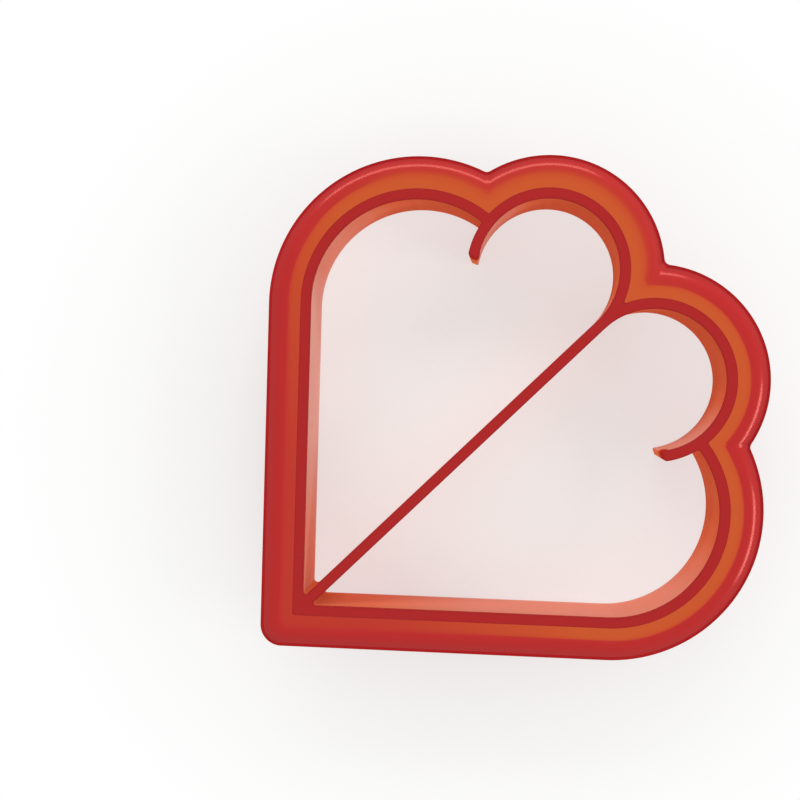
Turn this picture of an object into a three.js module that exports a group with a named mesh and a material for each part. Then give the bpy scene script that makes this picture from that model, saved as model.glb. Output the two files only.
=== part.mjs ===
// A press cutter that stamps two hearts out of one slice of bread or toast.
//
// The real cutter is one moulding of clear red plastic. It is drawn here as the features
// that the moulding is made of: an outline blade in six stretches, a centre blade that the
// two hearts share, a short blade in each side cleft, a flat flange round the top of the
// outline blade, and the rounded bead that the palm presses on. They meet on shared faces.
//
// Millimetres, +Z up, cutting edges on z = 0. The hearts' shared point looks along -Y, and
// their lobes look along +Y, so the plane x = 0 is the plane of symmetry.

import * as THREE from 'three';

// Heights
const cutterHeight = 22;
const flangeThickness = 1.8;
const bevelHeight = 2;

// Blades, all of one thickness at the top
const bladeThickness = 2.5;
const edgeThickness = 0.5;
const bladeDraft = 0.35;
const cleftBladeLength = 7.8;

// Outline of the hearts, on the inside face of the blade at the top
const pointHalfAngle = THREE.MathUtils.degToRad(45);
const innerLobeRadius = 16;
const outerLobeRadius = 24;
const lobeOverlap = 8.85;
const lobeLineAngle = THREE.MathUtils.degToRad(61.2);

// Flange and bead outside the blade
const flangeWidth = 3.5;
const beadWidth = 4.2;
const beadFillet = 0.4;
const beadSkirtHeight = 2.4;
const beadFootRadius = 0.8;
const pointCornerRadius = 5;
const cleftFilletRadius = 1.5;

// Steps in each curved stretch
const outerLobeSteps = 18;
const innerLobeSteps = 20;
const centreCleftSteps = 4;
const cleftBladeSteps = 4;
const cleftFilletSteps = 4;
const cornerSteps = 6;
const beadTopSteps = 6;
const beadFilletSteps = 3;

// Colours of the clear red plastic, darker where more of it lies behind the surface
const bladeColour = 0xb2262e;
const flangeColour = 0xcb5a30;
const beadColour = 0xba2a2d;
const plasticRoughness = 0.15;

// Places worked out from the sizes above
const rightAngle = Math.PI / 2;
const alongWall = new THREE.Vector2(Math.sin(pointHalfAngle), Math.cos(pointHalfAngle));
const outOfWall = new THREE.Vector2(Math.cos(pointHalfAngle), -Math.sin(pointHalfAngle));
const lobeSpacing = innerLobeRadius + outerLobeRadius - lobeOverlap;
const innerLobeX = bladeThickness / 2 + innerLobeRadius;
const outerLobeX = innerLobeX + lobeSpacing * Math.cos(lobeLineAngle);
const wallLength = (outerLobeX + outerLobeRadius * outOfWall.x) / alongWall.x;
const outerLobeY = wallLength * alongWall.y - outerLobeRadius * outOfWall.y;
const innerLobeY = outerLobeY + lobeSpacing * Math.sin(lobeLineAngle);
const outerLobeCentre = new THREE.Vector2(outerLobeX, outerLobeY);
const innerLobeCentre = new THREE.Vector2(innerLobeX, innerLobeY);
const wallAngle = outOfWall.angle() - 2 * Math.PI;

const beadRadius = beadWidth + beadFillet;
const flangeEdge = bladeThickness + flangeWidth;
const rimEdge = flangeEdge + beadRadius;
const flangeUnderside = cutterHeight - flangeThickness;
const beadFoot = cutterHeight - beadRadius - beadSkirtHeight;

// How far the two faces of a blade lie outside the hearts' outline at each height
const halfEdge = edgeThickness / 2;
const bladeMiddle = bladeThickness / 2;
const bladeLevels = [
  { z: 0, inside: bladeMiddle - halfEdge, outside: bladeMiddle + halfEdge },
  { z: bevelHeight, inside: bladeDraft, outside: bladeThickness - bladeDraft },
  { z: flangeUnderside, inside: 0, outside: bladeThickness },
  { z: cutterHeight, inside: 0, outside: bladeThickness },
];

// Plan geometry

function onCircle(centre, radius, angle) {
  return new THREE.Vector2(
    centre.x + radius * Math.cos(angle),
    centre.y + radius * Math.sin(angle),
  );
}

function angleFrom(centre, point) {
  return Math.atan2(point.y - centre.y, point.x - centre.x);
}

function onWall(distance, offset) {
  return new THREE.Vector2()
    .addScaledVector(alongWall, distance)
    .addScaledVector(outOfWall, offset);
}

// Where the straight walls of the two hearts would meet on x = 0, at an offset outwards
function pointCorner(offset) {
  return new THREE.Vector2(0, -offset / alongWall.x);
}

// Where a circle round the outer lobe's centre meets one round the inner lobe's centre,
// on the outside of the side cleft
function sideCleft(outerOffset, innerOffset) {
  const outerReach = outerLobeRadius + outerOffset;
  const innerReach = innerLobeRadius + innerOffset;
  const reachGap = outerReach ** 2 - innerReach ** 2;
  const along = (lobeSpacing ** 2 + reachGap) / (2 * lobeSpacing);
  const turn = Math.acos(along / outerReach);
  const towardsInner = angleFrom(outerLobeCentre, innerLobeCentre);
  return onCircle(outerLobeCentre, outerReach, towardsInner - turn);
}

// Where a circle round the inner lobe's centre meets x = 0 beyond the centre blade
function centreCleft(offset) {
  const rise = Math.sqrt((innerLobeRadius + offset) ** 2 - innerLobeX ** 2);
  return new THREE.Vector2(0, innerLobeY + rise);
}

// Solids from sections

function comesFirst(a, b) {
  if (a.z !== b.z) return a.z < b.z;
  if (a.x !== b.x) return a.x < b.x;
  return a.y < b.y;
}

// A closed body from a list of sections with equal numbers of corners. Each four-sided
// face is split through its first corner in height and place, so that two bodies that
// share the face split it alike. `cap` lists the faces that close an open end.
function sweptSolid(sections, cap) {
  const positions = [];
  const face = (...corners) => {
    let first = 0;
    corners.forEach((corner, i) => {
      if (comesFirst(corner, corners[first])) first = i;
    });
    const turned = corners.map((_, i) => corners[(first + i) % corners.length]);
    for (let i = 2; i < turned.length; i += 1) {
      [turned[0], turned[i - 1], turned[i]].forEach((v) => positions.push(v.x, v.y, v.z));
    }
  };
  const joined = cap ? sections.length - 1 : sections.length;
  for (let s = 0; s < joined; s += 1) {
    const here = sections[s];
    const next = sections[(s + 1) % sections.length];
    here.forEach((_, i) => {
      const j = (i + 1) % here.length;
      face(here[i], here[j], next[j], next[i]);
    });
  }
  if (cap) {
    const start = sections[0];
    const end = sections[sections.length - 1];
    cap.forEach((corners) => {
      face(...corners.map((i) => start[i]).reverse());
      face(...corners.map((i) => end[i]));
    });
  }
  const geometry = new THREE.BufferGeometry();
  geometry.setAttribute('position', new THREE.Float32BufferAttribute(positions, 3));
  return geometry;
}

function lifted(point, z) {
  return new THREE.Vector3(point.x, point.y, z);
}

// A blade's section: its inside face from the edge up, then its outside face down.
// `insideAt` and `outsideAt` give the plan point of each face for one level.
function bladeSection(insideAt, outsideAt) {
  const inside = bladeLevels.map((level) => lifted(insideAt(level), level.z));
  const outside = bladeLevels.map((level) => lifted(outsideAt(level), level.z));
  return [...inside, ...outside.reverse()];
}

const lastCorner = 2 * bladeLevels.length - 1;
const bladeCap = bladeLevels.slice(1).map((_, k) => [k, k + 1, lastCorner - k - 1, lastCorner - k]);

// Sections of the right-hand half of the outline blade

function straightSections() {
  // The distance along the wall at which its inside face meets the centre blade's side
  const besideCentre = (l) => (bladeMiddle - l.inside * (1 + outOfWall.x)) / alongWall.x;
  return [
    bladeSection((l) => pointCorner(l.inside), (l) => pointCorner(l.outside)),
    bladeSection((l) => onWall(besideCentre(l), l.inside), (l) => onWall(bladeMiddle, l.outside)),
    bladeSection((l) => onWall(wallLength, l.inside), (l) => onWall(wallLength, l.outside)),
  ];
}

function outerLobeSections() {
  const sections = [straightSections().at(-1)];
  for (let i = 1; i < outerLobeSteps; i += 1) {
    const share = i / outerLobeSteps;
    const at = (offset, end) => {
      const angle = THREE.MathUtils.lerp(wallAngle, angleFrom(outerLobeCentre, end), share);
      return onCircle(outerLobeCentre, outerLobeRadius + offset, angle);
    };
    sections.push(bladeSection(
      (l) => at(l.inside, sideCleft(l.inside, l.outside)),
      (l) => at(l.outside, sideCleft(l.outside, l.outside)),
    ));
  }
  sections.push(bladeSection(
    (l) => sideCleft(l.inside, l.outside),
    (l) => sideCleft(l.outside, l.outside),
  ));
  return sections;
}

function onInnerLobe(offset, angle) {
  return onCircle(innerLobeCentre, innerLobeRadius + offset, angle);
}

function innerLobeSections() {
  const sections = [];
  const cleftAngle = (l) => angleFrom(innerLobeCentre, centreCleft(l.outside));
  for (let i = 0; i < centreCleftSteps; i += 1) {
    const share = i / centreCleftSteps;
    sections.push(bladeSection(
      (l) => onInnerLobe(l.inside, THREE.MathUtils.lerp(Math.PI, cleftAngle(l), share)),
      (l) => new THREE.Vector2(0, innerLobeY).lerp(centreCleft(l.outside), share),
    ));
  }
  const sideAngle = (l) => angleFrom(innerLobeCentre, sideCleft(l.outside, l.outside));
  for (let i = 0; i < innerLobeSteps; i += 1) {
    const share = i / innerLobeSteps;
    const angle = (l) => THREE.MathUtils.lerp(cleftAngle(l), sideAngle(l), share);
    sections.push(bladeSection(
      (l) => onInnerLobe(l.inside, angle(l)),
      (l) => (i === 0 ? centreCleft(l.outside) : onInnerLobe(l.outside, angle(l))),
    ));
  }
  sections.push(bladeSection(
    (l) => onInnerLobe(l.inside, sideAngle(l)),
    (l) => sideCleft(l.outside, l.outside),
  ));
  sections.push(cleftBladeRoot());
  return sections;
}

// The inside face of the outer lobe meets the outside face of the inner lobe here
function rootAngle(level) {
  return angleFrom(innerLobeCentre, sideCleft(level.inside, level.outside));
}

function cleftBladeRoot() {
  return bladeSection(
    (l) => onInnerLobe(l.inside, rootAngle(l)),
    (l) => sideCleft(l.inside, l.outside),
  );
}

function cleftBladeSections() {
  const sections = [cleftBladeRoot()];
  const sweep = cleftBladeLength / (innerLobeRadius + bladeMiddle);
  const tipAngle = rootAngle(bladeLevels.at(-1)) - sweep;
  for (let i = 1; i <= cleftBladeSteps; i += 1) {
    const share = i / cleftBladeSteps;
    const angle = (l) => THREE.MathUtils.lerp(rootAngle(l), tipAngle, share);
    sections.push(bladeSection(
      (l) => onInnerLobe(l.inside, angle(l)),
      (l) => onInnerLobe(l.outside, angle(l)),
    ));
  }
  return sections;
}

// The centre blade, cut to the inside of the point and to the roots of the inner lobes

function centreBladeGeometry() {
  const straight = straightSections();
  const inner = innerLobeSections()[0];
  const sections = bladeLevels.map((_, k) => {
    const corners = [straight[0][k], straight[1][k], inner[k], inner[lastCorner - k]];
    const mirrored = [inner[k], straight[1][k]].map((v) => new THREE.Vector3(-v.x, v.y, v.z));
    return [...corners, ...mirrored];
  });
  return sweptSolid(sections, [sections[0].map((_, i) => i)]);
}

// Flange and bead

// Plan points of the rim's right half at an offset, from the point to the centre cleft.
// Its corner and its clefts are rounded more the further out they lie.
function rimHalf(offset) {
  const share = (offset - bladeThickness) / (rimEdge - bladeThickness);
  const corner = pointCornerRadius * share;
  const fillet = cleftFilletRadius * share;
  const points = [];
  const arc = (centre, radius, from, to, steps, first) => {
    for (let i = first; i <= steps; i += 1) {
      points.push(onCircle(centre, radius, THREE.MathUtils.lerp(from, to, i / steps)));
    }
  };
  const cornerCentre = pointCorner(offset - corner);
  const side = sideCleft(offset + fillet, offset + fillet);
  const centre = centreCleft(offset + fillet);
  const outerEnd = angleFrom(outerLobeCentre, side);
  const innerStart = angleFrom(innerLobeCentre, side);
  const innerEnd = angleFrom(innerLobeCentre, centre);
  arc(cornerCentre, corner, -rightAngle, wallAngle, cornerSteps, 0);
  arc(outerLobeCentre, outerLobeRadius + offset, wallAngle, outerEnd, outerLobeSteps, 0);
  arc(side, fillet, outerEnd - Math.PI, innerStart - Math.PI, cleftFilletSteps, 1);
  arc(innerLobeCentre, innerLobeRadius + offset, innerStart, innerEnd, innerLobeSteps, 1);
  arc(centre, fillet, innerEnd - Math.PI, -rightAngle, cleftFilletSteps, 1);
  points[0].x = 0;
  points.at(-1).x = 0;
  return points;
}

// A closed outline from its right half, which starts and ends on x = 0
function bothHalves(half) {
  const left = half.slice(1, -1).reverse().map((p) => new THREE.Vector2(-p.x, p.y));
  return [...half, ...left];
}

// The outside face of the outline blade, where the flange grows out of it
function bladeOutsideHalf() {
  const top = bladeLevels.length;
  const outside = (sections) => sections.map((s) => new THREE.Vector2(s[top].x, s[top].y));
  const straight = outside(straightSections());
  const outerLobe = outside(outerLobeSections()).slice(1);
  const innerLobe = outside(innerLobeSections()).slice(centreCleftSteps, -2).reverse();
  return [...straight, ...outerLobe, ...innerLobe];
}

function flangeGeometry() {
  const shape = new THREE.Shape(bothHalves(rimHalf(flangeEdge)));
  shape.holes.push(new THREE.Path(bothHalves(bladeOutsideHalf())));
  const geometry = new THREE.ExtrudeGeometry(shape, { depth: flangeThickness, bevelEnabled: false });
  geometry.translate(0, 0, flangeUnderside);
  return geometry;
}

// The bead's section as offsets and heights: quarter round outside, flat foot with
// rounded edges, and a fillet up to the underside of the flange
function beadProfile() {
  const profile = [];
  const arc = (offset, height, radius, from, to, steps) => {
    for (let i = 0; i <= steps; i += 1) {
      const angle = THREE.MathUtils.lerp(from, to, i / steps);
      profile.push({
        offset: offset + radius * Math.cos(angle),
        z: height + radius * Math.sin(angle),
      });
    }
  };
  const foot = beadFootRadius;
  const innerSide = rimEdge - beadWidth;
  const filletCentre = flangeUnderside - beadFillet;
  arc(flangeEdge, cutterHeight - beadRadius, beadRadius, rightAngle, 0, beadTopSteps);
  arc(rimEdge - foot, beadFoot + foot, foot, 0, -rightAngle, beadFilletSteps);
  arc(innerSide + foot, beadFoot + foot, foot, -rightAngle, -Math.PI, beadFilletSteps);
  arc(flangeEdge, filletCentre, beadFillet, 0, rightAngle, beadFilletSteps);
  return profile;
}

function beadGeometry() {
  const profile = beadProfile();
  const outlines = profile.map((p) => bothHalves(rimHalf(p.offset)));
  const sections = outlines[0].map((_, i) => profile.map((p, k) => lifted(outlines[k][i], p.z)));
  return sweptSolid(sections, null);
}

// The nodes

const cutter = new THREE.Group();
cutter.name = 'toast_cutter';

function add(name, geometry, colour) {
  const material = new THREE.MeshStandardMaterial({
    color: colour,
    roughness: plasticRoughness,
    metalness: 0,
  });
  const mesh = new THREE.Mesh(geometry, material);
  mesh.name = name;
  cutter.add(mesh);
}

function mirroredSections(sections) {
  return sections.map((section) => section.map((v) => new THREE.Vector3(-v.x, v.y, v.z)));
}

// A blade stretch and its mirror image, whose order is turned round to keep it facing out
function addBladePair(name, sections) {
  add(`right_${name}`, sweptSolid(sections, bladeCap), bladeColour);
  add(`left_${name}`, sweptSolid(mirroredSections(sections).reverse(), bladeCap), bladeColour);
}

addBladePair('straight_blade', straightSections());
addBladePair('outer_lobe_blade', outerLobeSections());
addBladePair('inner_lobe_blade', innerLobeSections().reverse());
addBladePair('cleft_blade', cleftBladeSections().reverse());
add('centre_blade', centreBladeGeometry(), bladeColour);
add('press_flange', flangeGeometry(), flangeColour);
add('palm_bead', beadGeometry(), beadColour);

// The origin lies on the cutting edges' plane, under the middle of the cutter
const frontEdge = rimHalf(rimEdge)[0].y;
const backEdge = innerLobeY + innerLobeRadius + rimEdge;
cutter.position.y = -(frontEdge + backEdge) / 2;

export default cutter;
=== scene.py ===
# %% [markdown]
# # A toast cutter in clear red plastic
#
# The object is a press cutter that stamps two hearts side by side. The real one is a
# single injection moulding: hot clear red plastic is pressed into a steel mould, so every
# wall joins its neighbours in small fillets, every free edge is slightly rounded, and
# every face that stood along the mould's opening leans a little. This lesson builds that
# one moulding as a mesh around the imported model, and then gives it a clear plastic that
# is coloured by its own depth.

import math

import bmesh
import bpy
from mathutils import Matrix, Vector
from mathutils.bvhtree import BVHTree


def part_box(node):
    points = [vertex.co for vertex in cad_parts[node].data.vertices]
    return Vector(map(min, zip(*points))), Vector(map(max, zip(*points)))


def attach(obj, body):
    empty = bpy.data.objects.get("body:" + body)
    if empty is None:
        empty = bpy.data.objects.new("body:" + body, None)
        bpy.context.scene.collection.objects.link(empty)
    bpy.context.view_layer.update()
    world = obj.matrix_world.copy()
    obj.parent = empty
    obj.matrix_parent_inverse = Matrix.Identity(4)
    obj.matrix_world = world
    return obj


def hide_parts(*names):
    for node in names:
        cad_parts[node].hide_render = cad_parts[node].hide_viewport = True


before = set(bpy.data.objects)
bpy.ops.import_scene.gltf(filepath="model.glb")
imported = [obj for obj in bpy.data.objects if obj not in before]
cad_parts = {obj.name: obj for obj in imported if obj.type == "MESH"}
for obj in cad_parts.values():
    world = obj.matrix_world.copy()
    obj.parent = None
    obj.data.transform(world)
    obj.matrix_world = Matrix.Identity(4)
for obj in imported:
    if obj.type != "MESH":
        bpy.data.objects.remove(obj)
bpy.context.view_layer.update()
print("packed nodes:", sorted(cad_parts))

# %% [markdown]
# ## Sizes
#
# The plan of the real cutter is two circles for each heart and a straight wall, and their
# sizes were fitted to its photo. They are millimetres here, and one scale turns them into
# Blender's metres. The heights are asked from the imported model, so that the mesh always
# stands where the solids stand.

# %% Driving sizes of the plan
MM = 0.001

INNER_LOBE_RADIUS = 16.0
OUTER_LOBE_RADIUS = 24.0
LOBE_OVERLAP = 8.85
LOBE_LINE_ANGLE = math.radians(61.2)
POINT_HALF_ANGLE = math.radians(45)
FLANGE_WIDTH = 3.5
BEAD_WIDTH = 4.2
BEAD_FILLET = 0.4
print(f"lobes of {INNER_LOBE_RADIUS} and {OUTER_LOBE_RADIUS} mm, flange {FLANGE_WIDTH} mm wide")

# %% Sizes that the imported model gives
blade_low, blade_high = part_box("centre_blade")
flange_low, flange_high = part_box("press_flange")
bead_low, bead_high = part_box("palm_bead")

BLADE_THICKNESS = (blade_high.x - blade_low.x) / MM
TOP = blade_high.z / MM
FLANGE_UNDERSIDE = flange_low.z / MM
BEAD_FOOT = bead_low.z / MM
FRONT_EDGE = bead_low.y / MM
print(f"blade {BLADE_THICKNESS:.2f} mm thick, top at {TOP:.2f} mm, bead foot at {BEAD_FOOT:.2f} mm")

# %% [markdown]
# ## The plan of the hearts
#
# The plan is worked out from the hearts' shared point, where the two straight walls would
# meet, with the centre blade along +Y. The inner lobe's circle touches the centre blade,
# the outer lobe's circle overlaps it by a set amount, and the straight wall touches the
# outer lobe's circle. Curves could be drawn over the photo instead, but circles that
# touch stay smooth at any size. Only the right-hand heart is worked out: the left one
# is its mirror image.

# %% Circles and walls of the right-hand heart
HALF_BLADE = BLADE_THICKNESS / 2
ALONG_WALL = Vector((math.sin(POINT_HALF_ANGLE), math.cos(POINT_HALF_ANGLE)))
OUT_OF_WALL = Vector((math.cos(POINT_HALF_ANGLE), -math.sin(POINT_HALF_ANGLE)))
WALL_ANGLE = -POINT_HALF_ANGLE
LOBE_SPACING = INNER_LOBE_RADIUS + OUTER_LOBE_RADIUS - LOBE_OVERLAP

inner_x = HALF_BLADE + INNER_LOBE_RADIUS
outer_x = inner_x + LOBE_SPACING * math.cos(LOBE_LINE_ANGLE)
WALL_LENGTH = (outer_x + OUTER_LOBE_RADIUS * OUT_OF_WALL.x) / ALONG_WALL.x
outer_y = WALL_LENGTH * ALONG_WALL.y - OUTER_LOBE_RADIUS * OUT_OF_WALL.y
inner_y = outer_y + LOBE_SPACING * math.sin(LOBE_LINE_ANGLE)
OUTER_CENTRE = Vector((outer_x, outer_y))
INNER_CENTRE = Vector((inner_x, inner_y))

BEAD_RADIUS = BEAD_WIDTH + BEAD_FILLET
FLANGE_EDGE = BLADE_THICKNESS + FLANGE_WIDTH
RIM_EDGE = FLANGE_EDGE + BEAD_RADIUS
print(f"straight wall {WALL_LENGTH:.1f} mm, inner lobe's centre {inner_y:.1f} mm from the point")


# %% Small plan helpers
def direction(angle):
    """The unit vector at an angle from +X."""
    return Vector((math.cos(angle), math.sin(angle)))


def angle_of(vector):
    return math.atan2(vector.y, vector.x)


def blend(a, b, share):
    """The value that lies a share of the way from one to the other."""
    return a + (b - a) * share


def share_between(value, start, end):
    """How far a value lies from start to end, held between 0 and 1."""
    return min(max((value - start) / (end - start), 0), 1)


def arc(centre, radius, start, end, steps):
    """Points round a centre, from one angle up to the last before the other."""
    return [centre + direction(blend(start, end, i / steps)) * radius for i in range(steps)]


def line(start, end, steps):
    """Points along a line, from one end up to the last before the other."""
    return [start.lerp(end, i / steps) for i in range(steps)]


lobe_turn = math.degrees(angle_of(INNER_CENTRE - OUTER_CENTRE))
print(f"the inner lobe lies {lobe_turn:.1f} degrees round from the outer one")


# %% Where the circles of the lobes meet
def side_cleft(outer_reach, inner_reach):
    """Where a circle round the outer lobe's centre meets one round the inner lobe's."""
    along = (LOBE_SPACING**2 + outer_reach**2 - inner_reach**2) / (2 * LOBE_SPACING)
    turn = math.acos(along / outer_reach)
    towards = angle_of(INNER_CENTRE - OUTER_CENTRE)
    return OUTER_CENTRE + direction(towards - turn) * outer_reach


def centre_cleft(reach):
    """Where a circle round the inner lobe's centre meets the plane of symmetry."""
    return Vector((0, inner_y + math.sqrt(reach**2 - inner_x**2)))


def meets_inner_circle(start, way, reach):
    """Where a line through a point meets a circle round the inner lobe's centre."""
    from_centre = start - INNER_CENTRE
    half = from_centre.dot(way)
    root = math.sqrt(half**2 - from_centre.length_squared + reach**2)
    return start + way * (root - half)


cleft_height = centre_cleft(INNER_LOBE_RADIUS + BLADE_THICKNESS).y
print(f"the outside cleft between the hearts lies {cleft_height:.1f} mm from the point")

# %% [markdown]
# ## The outside outline
#
# Everything outside the blades' inside faces, which is the outer face of the blade, the
# flange and the bead, is one profile carried round the hearts. A curve with a bevel
# profile could carry it, but it would fold over itself in the clefts. So each point of
# the profile, which lies at its own distance outside the hearts, gets an outline of its
# own. Its two kinds of corner, the point and the clefts, are sharper near the blade and
# rounder at the bead, as the photo shows. All the outlines have the same number of
# points, and faces are strung between neighbours.

# %% How round the corners are at a given distance outside the hearts
OUTSIDE_CORNER_AT_BLADE = 0.6
OUTSIDE_CORNER_AT_BEAD = 5.0
CLEFT_FILLET_AT_BLADE = 0.35
CLEFT_FILLET_AT_BEAD = 1.5


def rounding_at(offset, at_blade, at_bead):
    """A corner's radius at an offset, from its radii at the blade and at the bead."""
    share = (offset - BLADE_THICKNESS) / (RIM_EDGE - BLADE_THICKNESS)
    return blend(at_blade, at_bead, max(share, 0))


at_flange = rounding_at(FLANGE_EDGE, OUTSIDE_CORNER_AT_BLADE, OUTSIDE_CORNER_AT_BEAD)
print(f"the point's corner is rounded to {at_flange:.1f} mm where the bead starts")

# %% One outline at a given distance outside the hearts
CORNER_STEPS = 8
WALL_STEPS = 12
OUTER_LOBE_STEPS = 44
INNER_LOBE_STEPS = 54
CLEFT_STEPS = 8


def outline(offset):
    """The closed plan curve that runs round both hearts, a distance outside them."""
    corner = rounding_at(offset, OUTSIDE_CORNER_AT_BLADE, OUTSIDE_CORNER_AT_BEAD)
    fillet = rounding_at(offset, CLEFT_FILLET_AT_BLADE, CLEFT_FILLET_AT_BEAD)
    outer_reach = OUTER_LOBE_RADIUS + offset
    inner_reach = INNER_LOBE_RADIUS + offset
    corner_centre = Vector((0, (corner - offset) / ALONG_WALL.x))
    wall_start = corner_centre + OUT_OF_WALL * corner
    wall_end = ALONG_WALL * WALL_LENGTH + OUT_OF_WALL * offset
    side = side_cleft(outer_reach + fillet, inner_reach + fillet)
    centre = centre_cleft(inner_reach + fillet)
    outer_end = angle_of(side - OUTER_CENTRE)
    inner_start = angle_of(side - INNER_CENTRE)
    inner_end = angle_of(centre - INNER_CENTRE)

    points = arc(corner_centre, corner, -math.pi / 2, WALL_ANGLE, CORNER_STEPS)
    points += line(wall_start, wall_end, WALL_STEPS)
    points += arc(OUTER_CENTRE, outer_reach, WALL_ANGLE, outer_end, OUTER_LOBE_STEPS)
    points += arc(side, fillet, outer_end - math.pi, inner_start - math.pi, CLEFT_STEPS)
    points += arc(INNER_CENTRE, inner_reach, inner_start, inner_end, INNER_LOBE_STEPS)
    points += arc(centre, fillet, inner_end - math.pi, -math.pi / 2, CLEFT_STEPS)
    points.append(centre - Vector((0, fillet)))
    left = [Vector((-p.x, p.y)) for p in reversed(points[1:-1])]
    return points + left


print(f"outside outline of {len(outline(RIM_EDGE))} points")

# %% [markdown]
# ## The profile outside the blade
#
# From the inside edge of the flange the profile runs flat outwards, turns down over the
# bead in a quarter round, round the bead's foot, back up its inner side, through a fillet
# to the flange's underside, through another fillet to the blade's outer face, and down
# the drafted blade and its bevel to the cutting edge. Small radii are what tells a
# moulding from a drawing. A Bevel modifier could round the edges too, but points that
# are placed here keep each radius as it is meant.

# %% Sizes of the outside profile
EDGE_THICKNESS = 0.5
BEVEL_HEIGHT = 2.0
BLADE_DRAFT = 0.35
CUTTING_EDGE_RADIUS = 0.12
BEAD_FOOT_RADIUS = 0.8
UNDERSIDE_FILLET = 2.4
BLADE_ROOT_FILLET = 0.3
FLANGE_STARTS = 0.8
BORDER_WIDTH = 0.35
FLANGE_STEPS = 9
BEAD_STEPS = 14
SMALL_STEPS = 5
LEVEL_STEPS = 5
print(f"cutting edge {EDGE_THICKNESS} mm wide under a bevel {BEVEL_HEIGHT} mm high")


# %% Levels of a wall and points of a rounding
def wall_levels(top):
    """Shares of the draft and heights down a blade's face, to where its bevel starts."""
    shares = [(i + 1) / LEVEL_STEPS for i in range(LEVEL_STEPS)]
    return [(share, blend(top, BEVEL_HEIGHT, share)) for share in shares]


def rounded(offset, height, radius, start, end, steps):
    """Points of a rounding, from one angle in degrees to the other, with both ends."""
    points = []
    for i in range(steps + 1):
        angle = math.radians(blend(start, end, i / steps))
        points.append((offset + radius * math.cos(angle), height + radius * math.sin(angle)))
    return points


print("heights of a wall:", [round(z, 1) for _, z in wall_levels(FLANGE_UNDERSIDE)])


# %% Points of the outside profile, as (offset, height)
def outside_profile():
    """Every ring of the outside, from the top of the blade out and down to its edge."""
    foot = BEAD_FOOT_RADIUS
    fillet = UNDERSIDE_FILLET
    root = BLADE_ROOT_FILLET
    inner_side = RIM_EDGE - BEAD_WIDTH
    middle = HALF_BLADE + EDGE_THICKNESS / 2
    flange_start = BLADE_THICKNESS + FLANGE_STARTS
    points = [(BLADE_THICKNESS - BORDER_WIDTH, TOP), (BLADE_THICKNESS, TOP)]
    for i in range(FLANGE_STEPS):
        points.append((blend(flange_start, FLANGE_EDGE, i / FLANGE_STEPS), TOP))
    points += rounded(FLANGE_EDGE, TOP - BEAD_RADIUS, BEAD_RADIUS, 90, 0, BEAD_STEPS)
    points += rounded(RIM_EDGE - foot, BEAD_FOOT + foot, foot, 0, -90, SMALL_STEPS)
    points += rounded(inner_side + foot, BEAD_FOOT + foot, foot, -90, -180, SMALL_STEPS)
    points += rounded(inner_side - fillet, FLANGE_UNDERSIDE - fillet, fillet, 0, 90, BEAD_STEPS)
    points += rounded(BLADE_THICKNESS + root, FLANGE_UNDERSIDE - root, root, 90, 180, SMALL_STEPS)
    for share, z in wall_levels(FLANGE_UNDERSIDE - root):
        points.append((BLADE_THICKNESS - BLADE_DRAFT * share, z))
    points.append((middle, CUTTING_EDGE_RADIUS))
    points.append((middle - CUTTING_EDGE_RADIUS, 0))
    return points


outside = outside_profile()
print(f"outside profile of {len(outside)} points")

# %% [markdown]
# ## The opening of one heart
#
# Inside, each heart is one hole. Its outline is, in turn, the straight wall, the outer
# lobe, the outside of the cleft blade, the blade's squared-off tip, the long arc of its
# inside and the inner lobe, and the side of the centre blade. The hole could be cut with
# a Boolean modifier, which would leave ragged faces round it. All of its parts are arcs
# and lines that touch each other, so a hole that is a little larger has the same centres
# and other radii. That gives the rounded top edge, the draft and the bevel from one
# function.

# %% The end of the cleft blade
CLEFT_BLADE_LENGTH = 7.8
CLEFT_BLADE_FILLET = 0.6
CLEFT_BLADE_TIP_RADIUS = 0.7
CLEFT_BLADE_TIP_SLANT = math.radians(13)
BLADE_OUTSIDE = INNER_LOBE_RADIUS + BLADE_THICKNESS
BLADE_MIDDLE = INNER_LOBE_RADIUS + HALF_BLADE


def cleft_blade_end(push):
    """The centres of the end's two small roundings, the way it faces and their radius."""
    sharp_root = angle_of(side_cleft(OUTER_LOBE_RADIUS, BLADE_OUTSIDE) - INNER_CENTRE)
    tip = sharp_root - CLEFT_BLADE_LENGTH / BLADE_MIDDLE
    end_angle = tip + CLEFT_BLADE_TIP_SLANT - math.pi / 2
    across = direction(tip + CLEFT_BLADE_TIP_SLANT)
    radius = max(CLEFT_BLADE_TIP_RADIUS - push, CUTTING_EDGE_RADIUS)
    tip_middle = INNER_CENTRE + direction(tip) * BLADE_MIDDLE
    near_end = tip_middle - direction(end_angle) * (push + radius)
    outer_tip = meets_inner_circle(near_end, across, BLADE_OUTSIDE - push - radius)
    inner_tip = meets_inner_circle(near_end, across, INNER_LOBE_RADIUS + push + radius)
    return outer_tip, inner_tip, end_angle, radius


print(f"cleft blade {CLEFT_BLADE_LENGTH} mm long, its end rounded to {cleft_blade_end(0)[3]} mm")

# %% The outline of the right-hand opening, pushed outwards by a distance
POINT_FILLET = 0.5


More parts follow.
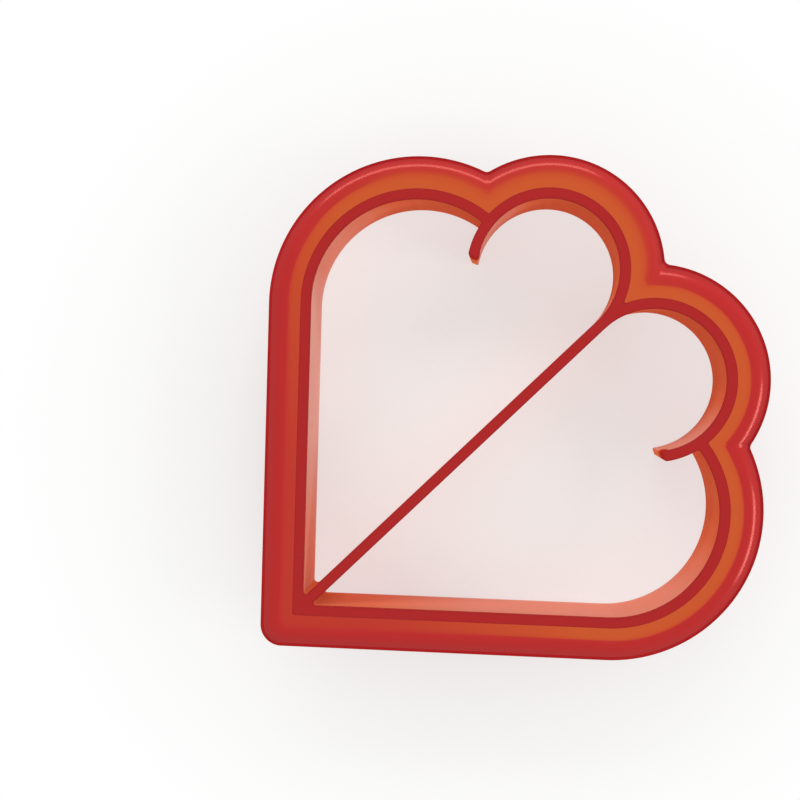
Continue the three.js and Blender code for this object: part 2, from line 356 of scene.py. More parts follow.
def opening_outline(push):
    """The closed plan curve of the right-hand opening, a distance larger all round."""
    corner_x = HALF_BLADE + POINT_FILLET
    corner_y = (corner_x * OUT_OF_WALL.x + POINT_FILLET) / ALONG_WALL.x
    corner_centre = Vector((corner_x, corner_y))
    wall_start = corner_centre + OUT_OF_WALL * (POINT_FILLET + push)
    wall_end = ALONG_WALL * WALL_LENGTH + OUT_OF_WALL * push
    fillet = CLEFT_BLADE_FILLET
    fillet_centre = side_cleft(OUTER_LOBE_RADIUS - fillet, BLADE_OUTSIDE + fillet)
    fillet_start = angle_of(fillet_centre - OUTER_CENTRE)
    root = angle_of(fillet_centre - INNER_CENTRE)
    outer_tip, inner_tip, end_angle, radius = cleft_blade_end(push)
    outer_tip_angle = angle_of(outer_tip - INNER_CENTRE)
    inner_tip_angle = angle_of(inner_tip - INNER_CENTRE)
    divider_top = Vector((HALF_BLADE - push, inner_y))
    divider_foot = Vector((HALF_BLADE - push, corner_y))

    points = arc(corner_centre, POINT_FILLET + push, -math.pi, WALL_ANGLE, CORNER_STEPS)
    points += line(wall_start, wall_end, WALL_STEPS)
    points += arc(OUTER_CENTRE, OUTER_LOBE_RADIUS + push, WALL_ANGLE, fillet_start, OUTER_LOBE_STEPS)
    points += arc(fillet_centre, fillet + push, fillet_start, root + math.pi, CLEFT_STEPS)
    points += arc(INNER_CENTRE, BLADE_OUTSIDE - push, root, outer_tip_angle, CLEFT_STEPS)
    points += arc(outer_tip, radius, outer_tip_angle, end_angle, SMALL_STEPS)
    points.append(outer_tip + direction(end_angle) * radius)
    points += arc(inner_tip, radius, end_angle, inner_tip_angle - math.pi, SMALL_STEPS)
    points += arc(INNER_CENTRE, INNER_LOBE_RADIUS + push, inner_tip_angle, math.pi, INNER_LOBE_STEPS)
    points += line(divider_top, divider_foot, WALL_STEPS)
    return points


TIP_START = CORNER_STEPS + WALL_STEPS + OUTER_LOBE_STEPS + 2 * CLEFT_STEPS
TIP_END = TIP_START + 2 * SMALL_STEPS + 2
print(f"opening outline of {len(opening_outline(0))} points, the tip's from {TIP_START} to {TIP_END}")

# %% How far the opening is pushed out at each height
TOP_EDGE_RADIUS = 0.2


def inside_profile():
    """Every ring of an opening, as (push, height), from the top down."""
    radius = TOP_EDGE_RADIUS
    middle = HALF_BLADE - EDGE_THICKNESS / 2
    points = [(radius + BORDER_WIDTH, TOP)]
    for i in range(SMALL_STEPS + 1):
        angle = math.radians(blend(90, 0, i / SMALL_STEPS))
        points.append((radius * (1 - math.cos(angle)), TOP - radius * (1 - math.sin(angle))))
    points.append((0, FLANGE_UNDERSIDE))
    for share, z in wall_levels(FLANGE_UNDERSIDE):
        points.append((BLADE_DRAFT * share, z))
    points.append((middle, CUTTING_EDGE_RADIUS))
    points.append((middle + CUTTING_EDGE_RADIUS, 0))
    return points


inside = inside_profile()
print(f"inside profile of {len(inside)} points")

# %% [markdown]
# ## One closed mesh
#
# The real cutter has no seams, so the mesh is one closed skin rather than pieces laid
# side by side. Rings of points are strung into bands of four-sided faces: one set of
# bands for the outside and one for each opening. The flat face on top of the blades and
# the narrow flat of the cutting edges are regions with two holes, which bmesh fills with
# triangles up to the rings' own edges.

# %% Rings, bands and flat fills
SAME_HEIGHT = 0.001
PLAN_SHIFT = FRONT_EDGE - outline(RIM_EDGE)[0].y


def to_part(point, height):
    """A plan point and a height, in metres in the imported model's own place."""
    return Vector((point.x, point.y + PLAN_SHIFT, height)) * MM


def add_ring(mesh, points, height):
    """One ring of new vertices at a height."""
    return [mesh.verts.new(to_part(p, height)) for p in points]


def add_bands(mesh, rings):
    """Strings faces between the rings, and gives back the first band of them."""
    count = len(rings[0])
    strung = []
    for here, below in zip(rings, rings[1:]):
        for i in range(count):
            j = (i + 1) % count
            strung.append(mesh.faces.new((here[i], here[j], below[j], below[i])))
    return strung[:count]


def fill_flat(mesh, height):
    """Fills the flat face at a height, up to the open rings that lie there."""
    edges = [
        e for e in mesh.edges
        if e.is_boundary and all(abs(v.co.z / MM - height) < SAME_HEIGHT for v in e.verts)
    ]
    filled = bmesh.ops.triangle_fill(mesh, use_beauty=True, use_dissolve=False, edges=edges)
    return [made for made in filled["geom"] if isinstance(made, bmesh.types.BMFace)]


print(f"the plan moves {PLAN_SHIFT:.2f} mm along the centre blade to meet the packed model")

# %% Build the moulding
OUTER_WALL_RINGS = SMALL_STEPS + LEVEL_STEPS + 2

mesh = bmesh.new()
outer_rings = [add_ring(mesh, outline(offset), z) for offset, z in outside]
flat_top = set(add_bands(mesh, outer_rings))
borders = set(outer_rings[1])
outer_walls = {v for ring in outer_rings[-OUTER_WALL_RINGS:] for v in ring}
inner_walls = set()
tips = set()
for side in (1, -1):
    rings = []
    for push, z in inside:
        points = [Vector((p.x * side, p.y)) for p in opening_outline(push)]
        rings.append(add_ring(mesh, points, z))
        tips.update(rings[-1][TIP_START:TIP_END])
    inner_walls.update(v for ring in rings[SMALL_STEPS + 1:] for v in ring)
    borders.update(rings[1])
    flat_top.update(add_bands(mesh, rings))
fills = [fill_flat(mesh, height) for height in (TOP, 0)]
flat_top.update(fills[0])
bmesh.ops.recalc_face_normals(mesh, faces=mesh.faces)
open_edges = sum(1 for e in mesh.edges if not e.is_manifold)
volume = mesh.calc_volume() / MM**3
print(f"moulding: {len(mesh.faces)} faces, {open_edges} open edges, {volume:.0f} mm3")

# %% [markdown]
# ## How deep the plastic is
#
# Clear dyed plastic has no skin of colour. The eye gets light that has travelled some way
# inside, and the longer the way, the deeper the red. Following that light at render time
# is slow and noisy, so it is measured once, here. From each face a few rays go in, spread
# as refraction spreads them. A ray that meets a face too flatly to leave is reflected, as
# light in a glass fibre is, and goes on. That is why the thin flange comes out shallow
# and the tops of the tall blades deep.

# %% The way of one ray
# Typical of clear styrene plastics: 1.57 for SAN and 1.59 for polystyrene.
REFRACTIVE_INDEX = 1.57
JUST_INSIDE = 0.02 * MM
REFLECTIONS = 8
DEEPEST = 22.0
LEAVES_BELOW = math.sqrt(1 - 1 / REFRACTIVE_INDEX**2)
skin = BVHTree.FromBMesh(mesh)


def way_inside(start, way):
    """Millimetres that a ray travels in the plastic before it gets out."""
    travelled = 0
    for _ in range(REFLECTIONS):
        hit, normal, _, distance = skin.ray_cast(start + way * JUST_INSIDE, way)
        if hit is None:
            break
        travelled += distance / MM
        if abs(way.dot(normal)) > LEAVES_BELOW or travelled > DEEPEST:
            break
        way = way.reflect(normal)
        start = hit
    return min(travelled, DEEPEST)


critical = math.degrees(math.acos(LEAVES_BELOW))
print(f"light leaves the plastic within {critical:.0f} degrees of straight out")

# %% The mean way below a spot
SPREAD = math.radians(3)
SPREAD_RAYS = 6
SLANT_OF_VIEW = 0.15
UNDERSIDE_STARTS = -0.3


def bent_inwards(outwards):
    """The way inside of light that is seen from above, or from below on undersides."""
    upwards = outwards.z > UNDERSIDE_STARTS
    along = Vector((0, 0, -1 if upwards else 1))
    along = (along + outwards * along.dot(-outwards)).normalized()
    bend = 1 / REFRACTIVE_INDEX
    facing = max(abs(outwards.z), SLANT_OF_VIEW)
    sideways = bend * math.sqrt(1 - facing**2)
    return along * sideways - outwards * math.sqrt(1 - sideways**2)


def depth_below(point, outwards):
    """The mean way inside from a point, over rays round the bent one."""
    inwards = bent_inwards(outwards)
    aside = inwards.orthogonal().normalized()
    tilted = inwards * math.cos(SPREAD) + aside * math.sin(SPREAD)
    ways = [inwards]
    for i in range(SPREAD_RAYS):
        ways.append(Matrix.Rotation(2 * math.pi * i / SPREAD_RAYS, 3, inwards) @ tilted)
    return sum(way_inside(point, way) for way in ways) / len(ways)


flange_spot = outer_rings[2 + FLANGE_STEPS // 2][0].co
through_flange = depth_below(flange_spot, Vector((0, 0, 1)))
print(f"once through the flange at the point: {through_flange:.1f} mm")

# %% [markdown]
# The light crosses the plastic twice, in and out again, and the walls of the openings
# less often the more upright they stand. Straight rays know nothing of the light that
# the whole cutter passes on, so the way is also held within set values that were matched
# to the photo: on the inner and outer walls, on the cleft blades' ends, which are painted
# paler towards their feet as painted light, and along the edges of the blades' flat tops,
# where a long way paints a dark line of shade. It is stored on the corners of the faces
# rather than on the vertices, because the blades' flat tops meet the flat flange in a hard
# line of colour: on that line each vertex needs one value for the fill and another for the band.

# %% Measure at every vertex, apart for the blades' flat tops
NUDGE = 0.08
CROSSINGS = 2
UPRIGHT_CROSSINGS = 0.7
DOWN_A_BLADE = 20.0


def measured_way(vert, beside, next_to_top):
    """Millimetres of plastic below a vertex, measured on the side of some of its faces."""
    centre = sum((f.calc_center_median() for f in beside), Vector()) / len(beside)
    normal = sum((f.normal for f in beside), Vector()).normalized()
    crossings = CROSSINGS
    if vert in inner_walls:
        crossings = blend(UPRIGHT_CROSSINGS, CROSSINGS, abs(normal.z))
    spot = vert.co.lerp(centre, 1 if next_to_top else NUDGE)
    return min(crossings * depth_below(spot, normal), DOWN_A_BLADE)


depths = {}
for vert in mesh.verts:
    for on_top in (True, False):
        beside = [f for f in vert.link_faces if (f in flat_top) == on_top]
        if beside:
            next_to_top = not on_top and len(beside) < len(vert.link_faces)
            depths[vert, on_top] = measured_way(vert, beside, next_to_top)
print(f"{len(depths)} ways from {min(depths.values()):.1f} to {max(depths.values()):.1f} mm")

# %% Hold the way within set values on walls, with painted shade on borders and painted light on tips
# Painted shade: a long way along the edges of the blades' flat tops draws a dark line there.
PAINTED_EDGE_SHADE = 25.0
THROUGH_AN_INNER_WALL = 2.5
THROUGH_AN_OUTER_WALL = 4.4
# Painted light: the ends of the cleft blades turn paler towards their feet.
PALE_TIP_SHARE = 0.55
FOOT_OF_A_TIP = 0.8
TOP_OF_A_TIP = 9.0

for vert, on_top in depths:
    depth = depths[vert, on_top]
    if on_top and vert in borders:
        depth = PAINTED_EDGE_SHADE
    if vert in inner_walls:
        depth = min(depth, THROUGH_AN_INNER_WALL)
    if vert in inner_walls and vert in tips:
        share = share_between(vert.co.z / MM / TOP, PALE_TIP_SHARE, 1)
        depth = blend(FOOT_OF_A_TIP, TOP_OF_A_TIP, share)
    if vert in outer_walls:
        depth = min(depth, THROUGH_AN_OUTER_WALL)
    depths[vert, on_top] = depth
print(f"{len(inner_walls)} inner and {len(outer_walls)} outer wall points, {len(tips)} on the tips")

# %% [markdown]
# The bead of the real cutter takes in light from its side too, so its way is held to a
# set value, as painted light. Rays sent towards each lamp could find that light, but one
# limit matched to the photo is simpler. The low light of the window beyond shines in
# through the bead and comes up beside the flange, so the orange band is painted wider on
# that side. A few passes of smoothing round each ring take out the noise of single rays.

# %% Painted light: let the window shorten the way through the bead
PICTURE_UP = Vector((-0.7235, 0.6903, 0))
PICTURE_RIGHT = Vector((0.6903, 0.7235, 0))
WINDOW_SIDE_FROM = 0.2
WINDOW_SIDE_FULL = 0.8
DOWN_THE_BEAD = 12.5
LIT_FROM = 5.2
LIT_WAY = 3.6
LIT_SLOPE = 1.9
SMOOTHINGS = 4
# Any ring on the bead tells which way is outwards.
BEAD_RING = 14

for i, blade_side in enumerate(outer_rings[1]):
    outwards = (outer_rings[BEAD_RING][i].co - blade_side.co) * Vector((1, 1, 0))
    towards_window = outwards.normalized().dot(PICTURE_UP)
    lit = share_between(towards_window, WINDOW_SIDE_FROM, WINDOW_SIDE_FULL)
    for (offset, z), ring in zip(outside, outer_rings):
        key = (ring[i], False)
        if offset > LIT_FROM:
            depths[key] = min(depths[key], DOWN_THE_BEAD)
        if offset > LIT_FROM and z > TOP - BEAD_RADIUS:
            limit = LIT_WAY + LIT_SLOPE * (offset - LIT_FROM)
            depths[key] = blend(depths[key], min(depths[key], limit), lit)
for ring in outer_rings[1:]:
    for _ in range(SMOOTHINGS):
        before = [depths[vert, False] for vert in ring]
        for i, vert in enumerate(ring):
            following = before[(i + 1) % len(ring)]
            depths[vert, False] = (before[i - 1] + 2 * before[i] + following) / 4
print(f"{len(outer_rings[1])} spots round the rim, smoothed {SMOOTHINGS} times")

# %% [markdown]
# Towards the hearts' shared point less light comes up through the thin plastic, and it
# reads deeper there, so painted shade lengthens the way a little on that side. What is
# crimson already stays as it is.

# %% Painted shade: let the point's side lengthen the way
POINT_SIDE = Vector((-0.225, -0.96, 0))
FARTHEST_POINT_SIDE = 40 * MM
# Painted shade: how much the way grows towards the point, on the flange and on walls.
FLANGE_PAINTED_SHADE = (1.1, 2.0)
WALL_PAINTED_SHADE = (1.0, 1.4)
CRIMSON_FROM = 9.0

walls = inner_walls | outer_walls
for (vert, on_top), depth in depths.items():
    least, most = WALL_PAINTED_SHADE if vert in walls else FLANGE_PAINTED_SHADE
    share = share_between(vert.co.dot(POINT_SIDE), 0, FARTHEST_POINT_SIDE)
    if depth < CRIMSON_FROM:
        depths[vert, on_top] = min(depth * blend(least, most, share), CRIMSON_FROM)
print(f"ways from {min(depths.values()):.1f} to {max(depths.values()):.1f} mm are stored")

# %% Store the way on the corners of the faces
SHARP_FROM = math.radians(35)

layer = mesh.loops.layers.float.new("plastic_depth")
for face in mesh.faces:
    face.smooth = True
    for corner in face.loops:
        corner[layer] = depths[corner.vert, face in flat_top]

moulding_mesh = bpy.data.meshes.new("cutter_moulding")
mesh.to_mesh(moulding_mesh)
mesh.free()
moulding_mesh.set_sharp_from_angle(angle=SHARP_FROM)
moulding = bpy.data.objects.new("cutter_moulding", moulding_mesh)
bpy.context.scene.collection.objects.link(moulding)
print(f"{moulding.name}: {len(moulding_mesh.loops)} corners hold their way")

# %% [markdown]
# Wide flat faces next to narrow rounded ones shade best when each corner's normal leans
# towards the larger face, which is what the Weighted Normal modifier does. Extra rings
# of faces beside each edge would do it too, but make a heavier mesh.

# %% Shade the flats flat
LEAN_TO_LARGE_FACES = 100

weighted = moulding.modifiers.new("flats_stay_flat", "WEIGHTED_NORMAL")
weighted.keep_sharp = True
weighted.weight = LEAN_TO_LARGE_FACES
print(f"modifier {weighted.name} with weight {weighted.weight}")


# %% [markdown]
# ## The plastic
#
# The real one is clear polystyrene, or its near relation SAN, dyed red and given its
# polish by the mould. Such a dye lets red through and takes out green and blue, so a thin
# wall reads orange and a deep one crimson. A shader for glass around a volume could do
# that, but it is slow and noisy through so many walls. So the body is opaque here, and
# its colour follows the measured way. What the light does besides is painted on top as
# painted light and shade: a small painted glow in the point's corner, a painted pale sheen
# on the walls that face the windows, painted shade on the bead's far slope, and sharp
# highlights from the lamps.

# %% Colours and a helper that adds a node
def srgb(code):
    """An sRGB hex colour as Blender's linear one."""
    values = [int(code[i:i + 2], 16) / 255 for i in (0, 2, 4)]
    linear = [v / 12.92 if v <= 0.04045 else ((v + 0.055) / 1.055) ** 2.4 for v in values]
    return (*linear, 1)


def add_node(tree, kind, links=(), **settings):
    """Adds a node, sets its sockets and properties, and links sockets to it."""
    node = tree.nodes.new(kind)
    for name, value in settings.items():
        if name in node.inputs:
            node.inputs[name].default_value = value
        else:
            setattr(node, name, value)
    for output, name in links:
        tree.links.new(output, node.inputs[name])
    return node


def new_material(name):
    """An empty material and its node tree."""
    material = bpy.data.materials.new(name)
    material.use_nodes = True
    material.node_tree.nodes.clear()
    return material, material.node_tree


print("orange as Blender's linear colour:", [round(v, 3) for v in srgb("E67650")])

# %% Clear red polystyrene, coloured by the way inside
# Injection moulded in a polished mould, which gives the eye a glassy skin over a deep
# colour. Each colour goes with a way in millimetres, and was matched to the photo.
LONGEST_WAY = 30.0
WAY_COLOURS = [
    (0.0, "F89870"), (2.3, "E67650"), (3.2, "D46630"), (3.6, "CA5826"), (4.6, "C84C24"),
    (5.8, "C24024"), (6.8, "BE3426"), (8.4, "BC2A26"), (11.0, "BC2426"), (20.0, "AA1A1E"),
    (30.0, "861018"),
]
plastic, plastic_tree = new_material("clear_red_polystyrene")
stored_way = add_node(plastic_tree, "ShaderNodeAttribute", attribute_name="plastic_depth")
way_share = add_node(
    plastic_tree, "ShaderNodeMapRange", links=[(stored_way.outputs["Fac"], "Value")],
    **{"From Max": LONGEST_WAY},
)
way_colour = add_node(
    plastic_tree, "ShaderNodeValToRGB", links=[(way_share.outputs["Result"], "Fac")],
)
stops = way_colour.color_ramp.elements
for i, (millimetres, colour) in enumerate(WAY_COLOURS):
    stop = stops[i] if i < 2 else stops.new(1.0)
    stop.position = millimetres / LONGEST_WAY
    stop.color = srgb(colour)
print(f"{plastic.name}: {len(stops)} colours over {LONGEST_WAY} mm")

# %% [markdown]
# Painted shade: the bead's outer slope is darkened on the side away from the point, because
# the light that enters there passes on inwards. A slope is told by its normal, read in the
# object's own space, and the bead by its deep plastic, so nothing depends on the camera.

# %% How steep each face is, and which way it looks
STEEP_FROM = 0.86
STEEP_FULL = 0.45

coordinates = add_node(plastic_tree, "ShaderNodeTexCoord")
facing = add_node(
    plastic_tree, "ShaderNodeSeparateXYZ", links=[(coordinates.outputs["Normal"], "Vector")],
)
flatness = add_node(
    plastic_tree, "ShaderNodeMath", operation="ABSOLUTE", links=[(facing.outputs["Z"], 0)],
)
steep = add_node(
    plastic_tree, "ShaderNodeMapRange", links=[(flatness.outputs["Value"], "Value")],
    **{"From Min": STEEP_FROM, "From Max": STEEP_FULL},
)
gentlest = math.degrees(math.acos(STEEP_FROM))
steepest = math.degrees(math.acos(STEEP_FULL))
print(f"faces are steep from {gentlest:.0f} degrees on, and fully so at {steepest:.0f}")

# %% Painted shade on the steep thick faces that turn away from the point
THICK_FROM = 7.5
THICK_FULL = 10.5
TURNED_AWAY_FROM = -0.6
TURNED_AWAY_FULL = 0.2
LIGHT_LOST = 0.42

turned_away = add_node(
    plastic_tree, "ShaderNodeMapRange", links=[(facing.outputs["Y"], "Value")],
    **{"From Min": TURNED_AWAY_FROM, "From Max": TURNED_AWAY_FULL, "To Max": LIGHT_LOST},
)
thick = add_node(
    plastic_tree, "ShaderNodeMapRange", links=[(stored_way.outputs["Fac"], "Value")],
    **{"From Min": THICK_FROM, "From Max": THICK_FULL},
)
steep_and_thick = add_node(
    plastic_tree, "ShaderNodeMath", operation="MULTIPLY",
    links=[(steep.outputs["Result"], 0), (thick.outputs["Result"], 1)],
)
# Painted shade: how much the body colour is darkened on the bead's far slope.
lost = add_node(
    plastic_tree, "ShaderNodeMath", operation="MULTIPLY",
    links=[(steep_and_thick.outputs["Value"], 0), (turned_away.outputs["Result"], 1)],
)
body = add_node(
    plastic_tree, "ShaderNodeHueSaturation", Value=0.0,
    links=[(lost.outputs["Value"], "Fac"), (way_colour.outputs["Color"], "Color")],
)
print(f"up to {LIGHT_LOST:.0%} of the light is lost on the bead's far slope")

# %% [markdown]
# In the photo the near walls of the hearts look pale, as thin clear plastic does when
# light shines through it towards the eye. A painted sheen stands for that bloom of light:
# it goes on thin steep walls that face the windows, most where they face the picture's
# right, and less in the corner of the point.

# %% Which walls are thin and face the windows
THIN_FULL = 3.5
THIN_UP_TO = 4.2
BLOOM_FROM = -0.5
BLOOM_FULL = 0.1
SQUARE_ON_FROM = 0.93
BLOOM_ASKEW = 0.62
BLOOM_SQUARE_ON = 0.95

thin = add_node(
    plastic_tree, "ShaderNodeMapRange", links=[(stored_way.outputs["Fac"], "Value")],
    **{"From Min": THIN_FULL, "From Max": THIN_UP_TO, "To Min": 1.0, "To Max": 0.0},
)
faces_windows = add_node(
    plastic_tree, "ShaderNodeMapRange", links=[(facing.outputs["Y"], "Value")],
    **{"From Min": BLOOM_FROM, "From Max": BLOOM_FULL},
)
square_on = add_node(
    plastic_tree, "ShaderNodeVectorMath", operation="DOT_PRODUCT",
    links=[(coordinates.outputs["Normal"], 0)],
)
square_on.inputs[1].default_value = PICTURE_RIGHT
bloom_strength = add_node(
    plastic_tree, "ShaderNodeMapRange", links=[(square_on.outputs["Value"], "Value")],
    **{"From Min": SQUARE_ON_FROM, "To Min": BLOOM_ASKEW, "To Max": BLOOM_SQUARE_ON},
)
print(f"walls up to {THIN_FULL} mm bloom by {BLOOM_ASKEW} to {BLOOM_SQUARE_ON}")

# %% A painted sheen of pale light, weaker in the point's corner
# The corner of the point ends between these places along the centre blade.
POINT_Y = -43 * MM
ABOVE_POINT_Y = -26 * MM
BLOOM_IN_POINT = 0.45

where = add_node(
    plastic_tree, "ShaderNodeSeparateXYZ", links=[(coordinates.outputs["Object"], "Vector")],
)
above_point = add_node(
    plastic_tree, "ShaderNodeMapRange", links=[(where.outputs["Y"], "Value")],
    **{"From Min": POINT_Y, "From Max": ABOVE_POINT_Y, "To Min": BLOOM_IN_POINT},
)
bloom = thin.outputs["Result"]
for factor in (steep, faces_windows, bloom_strength, above_point):
    lessened = add_node(
        plastic_tree, "ShaderNodeMath", operation="MULTIPLY",
        links=[(bloom, 0), (factor.outputs["Result"], 1)],
    )
    bloom = lessened.outputs["Value"]
print(f"bloom times {BLOOM_IN_POINT} at the point")

# %% [markdown]
# All clear plastic passes on some light from around it, which a small emission in the
# body's own colour stands for as painted light. In the corner of the point the walls lie
# close together and light each other, so this painted glow is stronger on their thin
# steep faces.

# %% A small painted glow, stronger in the point's corner
OUT_OF_POINT_Y = -30 * MM
GLOW = 0.08
GLOW_IN_POINT = 0.22

below_point = add_node(
    plastic_tree, "ShaderNodeMapRange", links=[(where.outputs["Y"], "Value")],
    **{"From Min": POINT_Y, "From Max": OUT_OF_POINT_Y, "To Min": 1.0, "To Max": 0.0},
)
corner_wall = add_node(
    plastic_tree, "ShaderNodeMath", operation="MULTIPLY",
    links=[(thin.outputs["Result"], 0), (below_point.outputs["Result"], 1)],
)
corner_side = add_node(
    plastic_tree, "ShaderNodeMath", operation="MULTIPLY",
    links=[(corner_wall.outputs["Value"], 0), (steep.outputs["Result"], 1)],
)
glow = add_node(
    plastic_tree, "ShaderNodeMapRange", links=[(corner_side.outputs["Value"], "Value")],
    **{"To Min": GLOW, "To Max": GLOW_IN_POINT},
)
print(f"glow of {GLOW}, and {GLOW_IN_POINT} in the corner of the point")

# %% [markdown]
# A polished mould leaves a skin like glass, with faint waves where the plastic shrank
# unevenly, some millimetres long. Use dulls it in specks that are far too fine to show
# here, so they are drawn as coarse as 0.8 mm. Two noises through two bumps give both,
# where a displaced mesh would need many more faces.

# %% Waves and fine grain of a polished moulding
WAVE_LENGTH = 7 * MM
WAVE_HEIGHT = 0.04 * MM
GRAIN_LENGTH = 0.8 * MM
GRAIN_HEIGHT = 0.001 * MM
WAVE_DETAIL = 2.0
WAVE_ROUGHNESS = 0.5
GRAIN_DETAIL = 4.0
GRAIN_ROUGHNESS = 0.65
RELIEF = 0.5

ripple = add_node(
    plastic_tree, "ShaderNodeTexNoise", links=[(coordinates.outputs["Object"], "Vector")],
    Scale=1 / WAVE_LENGTH, Detail=WAVE_DETAIL, Roughness=WAVE_ROUGHNESS,
)
grain = add_node(
    plastic_tree, "ShaderNodeTexNoise", links=[(coordinates.outputs["Object"], "Vector")],
    Scale=1 / GRAIN_LENGTH, Detail=GRAIN_DETAIL, Roughness=GRAIN_ROUGHNESS,
)
waves = add_node(
    plastic_tree, "ShaderNodeBump", links=[(ripple.outputs["Fac"], "Height")],
    Strength=RELIEF, Distance=WAVE_HEIGHT,
)
relief = add_node(
    plastic_tree, "ShaderNodeBump", Strength=RELIEF, Distance=GRAIN_HEIGHT,
    links=[(grain.outputs["Fac"], "Height"), (waves.outputs["Normal"], "Normal")],
)
print(f"waves of {WAVE_LENGTH / MM:.0f} mm, grain of {GRAIN_LENGTH / MM} mm")

# %% [markdown]
# Polished plastic has a roughness near 0.1, and the soft lines on the bead ask for a
# little more, a little uneven where the skin has been used. At a slant the reflection
# fades, because a clear body sends as much light up through its skin as the skin
# reflects.

# %% Gloss of the skin
GRAIN_LOW = 0.3
GRAIN_HIGH = 0.7
SMOOTHEST = 0.165
ROUGHEST = 0.2
SHINE = 0.5
SHINE_FADES_FROM = 0.22
SHINE_GONE_AT = 0.5
EVEN_BLEND = 0.5

gloss = add_node(
    plastic_tree, "ShaderNodeMapRange", links=[(grain.outputs["Fac"], "Value")],
    **{"From Min": GRAIN_LOW, "From Max": GRAIN_HIGH, "To Min": SMOOTHEST, "To Max": ROUGHEST},
)
view_slant = add_node(plastic_tree, "ShaderNodeLayerWeight", Blend=EVEN_BLEND)
shine = add_node(
    plastic_tree, "ShaderNodeMapRange", links=[(view_slant.outputs["Facing"], "Value")],
    **{"From Min": SHINE_FADES_FROM, "From Max": SHINE_GONE_AT, "To Min": SHINE, "To Max": 0.0},
)
print(f"roughness {SMOOTHEST} to {ROUGHEST}")

# %% Put the plastic together
HIGHLIGHT_TINT = srgb("FF9C8E")
BLOOM_TINT = srgb("F3EAE7")
BLOOM_SOFTNESS = 0.5

shader = add_node(
    plastic_tree, "ShaderNodeBsdfPrincipled",
    links=[
        (body.outputs["Color"], "Base Color"),
        (body.outputs["Color"], "Emission Color"),
        (glow.outputs["Result"], "Emission Strength"),
        (shine.outputs["Result"], "Specular IOR Level"),
        (gloss.outputs["Result"], "Roughness"),
        (bloom, "Sheen Weight"),
        (relief.outputs["Normal"], "Normal"),
    ],
    **{"IOR": REFRACTIVE_INDEX, "Specular Tint": HIGHLIGHT_TINT},
    **{"Sheen Roughness": BLOOM_SOFTNESS, "Sheen Tint": BLOOM_TINT},
)
add_node(
    plastic_tree, "ShaderNodeOutputMaterial", links=[(shader.outputs["BSDF"], "Surface")],
)
moulding_mesh.materials.append(plastic)
print(f"{plastic.name}: {len(plastic_tree.nodes)} nodes")

# %% Tell the frame what the moulding stands for
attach(moulding, "root")
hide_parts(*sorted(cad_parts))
print(f"{moulding.name} stands for {len(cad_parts)} packed nodes")

# %% [markdown]
# ## Floor, light and camera
#
# The cutter lies on a plain white floor in even light, as in a light tent. More light
# would turn the floor white but would burn out the plastic as well. So the floor and
# the world are white only for rays that go to the eye, straight or by way of a
# reflection, and light the plastic at a plain level.

# %% White where the background is seen
WHITE = srgb("FFFFFF")


def seen_by_eye(tree):
    """1 for rays that show the background to the eye, 0 for those that light the object."""
    ray = add_node(tree, "ShaderNodeLightPath")
    seen = ray.outputs["Is Camera Ray"]
    for kind in ("Is Glossy Ray", "Is Transmission Ray"):
        either = add_node(
            tree, "ShaderNodeMath", operation="MAXIMUM",
            links=[(seen, 0), (ray.outputs[kind], 1)],
        )
        seen = either.outputs["Value"]
    return seen


print("the background is white at", WHITE)

# %% [markdown]
# The real surface would be a sheet of matt paper. Close to the cutter it has to keep the
# soft shadow that seats the part, so the white of its own fades in with the distance
# from the middle.

# %% Floor
FLOOR_HALF = 1.5
FLOOR_DROP = 0.02 * MM
WHITENS_FROM = 0.04
WHITE_AT = 0.12
WHITE_UNDER_PART = 0.56

corners = [(-1, -1), (1, -1), (1, 1), (-1, 1)]
floor_mesh = bpy.data.meshes.new("floor")
floor_mesh.from_pydata(
    [(x * FLOOR_HALF, y * FLOOR_HALF, -FLOOR_DROP) for x, y in corners], [], [(0, 1, 2, 3)],
)
floor = bpy.data.objects.new("floor", floor_mesh)
bpy.context.scene.collection.objects.link(floor)
print(f"floor {2 * FLOOR_HALF} m wide, {FLOOR_DROP / MM} mm under the cutting edges")

# %% Matt white paper
# Pressed from fibres without a coating, which gives the eye an even white with no shine.
floor_material, floor_tree = new_material("matt_white_paper")
paper = add_node(floor_tree, "ShaderNodeBsdfDiffuse", Color=srgb("F6F4F0"))
white = add_node(floor_tree, "ShaderNodeEmission", Color=WHITE, Strength=1.0)
on_floor = add_node(floor_tree, "ShaderNodeTexCoord")
from_middle = add_node(
    floor_tree, "ShaderNodeVectorMath", operation="LENGTH",
    links=[(on_floor.outputs["Object"], 0)],
)
away = add_node(
    floor_tree, "ShaderNodeMapRange", links=[(from_middle.outputs["Value"], "Value")],
    **{"From Min": WHITENS_FROM, "From Max": WHITE_AT, "To Min": WHITE_UNDER_PART},
)
whitened = add_node(
    floor_tree, "ShaderNodeMath", operation="MULTIPLY",
    links=[(seen_by_eye(floor_tree), 0), (away.outputs["Result"], 1)],
)
mixed = add_node(
    floor_tree, "ShaderNodeMixShader",
    links=[(whitened.outputs["Value"], 0), (paper.outputs["BSDF"], 1), (white.outputs["Emission"], 2)],
)
add_node(floor_tree, "ShaderNodeOutputMaterial", links=[(mixed.outputs["Shader"], "Surface")])
floor_mesh.materials.append(floor_material)
print(f"{floor_material.name}: {len(floor_tree.nodes)} nodes")

# %% [markdown]
# A real tent's cloth throws even light from all sides. The world does that here,
# because it needs no lamps and leaves no edges of lamps in the gloss.

# %% World
WORLD_LIGHT = 0.58

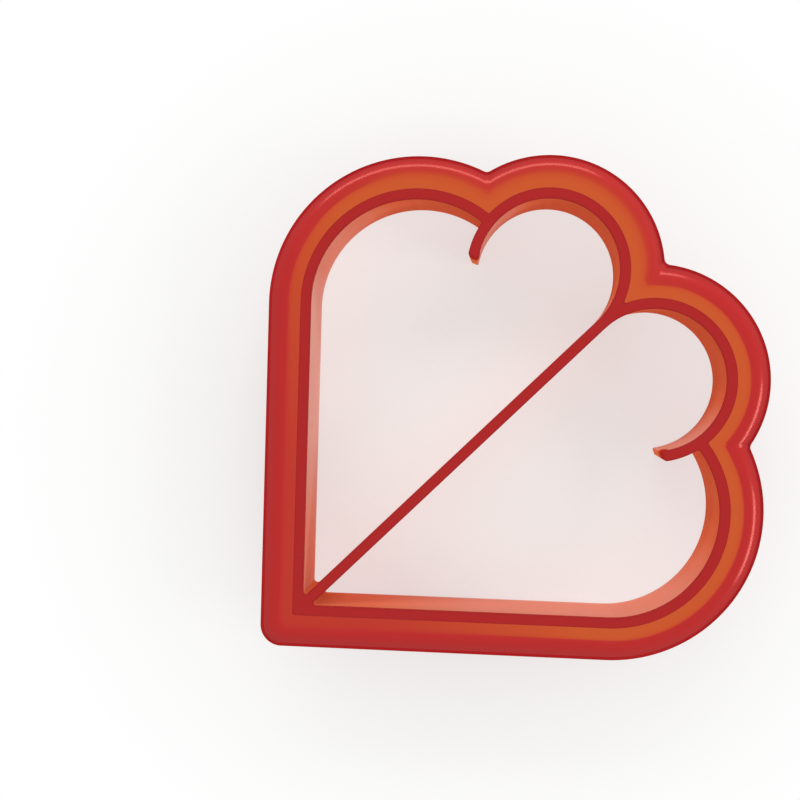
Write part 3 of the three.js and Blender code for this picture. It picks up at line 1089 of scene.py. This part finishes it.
world = bpy.data.worlds.new("studio")
bpy.context.scene.world = world
world.use_nodes = True
world_tree = world.node_tree
world_tree.nodes.clear()
brightness = add_node(
    world_tree, "ShaderNodeMapRange", links=[(seen_by_eye(world_tree), "Value")],
    **{"To Min": WORLD_LIGHT},
)
background = add_node(
    world_tree, "ShaderNodeBackground", links=[(brightness.outputs["Result"], "Strength")],
    Color=WHITE,
)
add_node(world_tree, "ShaderNodeOutputWorld", links=[(background.outputs["Background"], "Surface")])
print(f"world {world.name} lights the part at {WORLD_LIGHT}")

# %% [markdown]
# In the photo two broad soft lights lie low, like windows: one beyond the top edge of the
# picture and one to its right. Their reflections are the thin bright lines on the bead.
# Area lamps are the nearest thing to a window. Their height in degrees sets how far down
# the bead the line lies, and their width how far round it the line runs.

# %% Lamps
WINDOW_DISTANCE = 1.0
WINDOW_HEIGHT = 0.2


def add_window(name, clockwise_from_up, elevation, width, power):
    """A long low area lamp that looks at the part. Its place is given in degrees."""
    turn = math.radians(clockwise_from_up)
    rise = math.radians(elevation)
    level_way = PICTURE_UP * math.cos(turn) + PICTURE_RIGHT * math.sin(turn)
    data = bpy.data.lights.new(name, "AREA")
    data.shape = "RECTANGLE"
    data.size = width
    data.size_y = WINDOW_HEIGHT
    data.energy = power
    lamp = bpy.data.objects.new(name, data)
    lamp.location = (level_way * math.cos(rise) + Vector((0, 0, math.sin(rise)))) * WINDOW_DISTANCE
    lamp.rotation_euler = (-lamp.location).to_track_quat("-Z", "Y").to_euler()
    bpy.context.scene.collection.objects.link(lamp)
    print(f"{name}: {power} W, {width} m wide, {elevation} degrees high")


add_window("window_beyond", clockwise_from_up=-8, elevation=33, width=1.1, power=4.1)
add_window("window_right", clockwise_from_up=105, elevation=32, width=0.45, power=2.6)

# %% [markdown]
# The photo was taken from almost straight above, from so near that the walls lean
# outwards in it. The camera's place, aim and roll were fitted to its outline, with the
# lens last, because only the distance decides how much the walls lean.

# %% Camera
CAMERA_PLACE = Vector((-6.5, 13.05, 301.8)) * MM
AIM = Vector((-18.9, -4.9, 22.0)) * MM
VIEW_ROLL = math.radians(-46.6)
FOCAL_LENGTH = 55.26
SENSOR_WIDTH = 36

camera_data = bpy.data.cameras.new("camera")
camera_data.lens = FOCAL_LENGTH
camera_data.sensor_width = SENSOR_WIDTH
camera = bpy.data.objects.new("camera", camera_data)
bpy.context.scene.collection.objects.link(camera)
backwards = (CAMERA_PLACE - AIM).normalized()
up_hint = Vector((math.sin(VIEW_ROLL), math.cos(VIEW_ROLL), 0))
right = up_hint.cross(backwards).normalized()
up = backwards.cross(right)
turned = Matrix((right, up, backwards)).transposed().to_4x4()
camera.matrix_world = Matrix.Translation(CAMERA_PLACE) @ turned
bpy.context.scene.camera = camera
bpy.context.scene.view_settings.view_transform = "Standard"
print(f"camera {(CAMERA_PLACE.z / MM - TOP):.0f} mm above the top face, lens {FOCAL_LENGTH} mm")
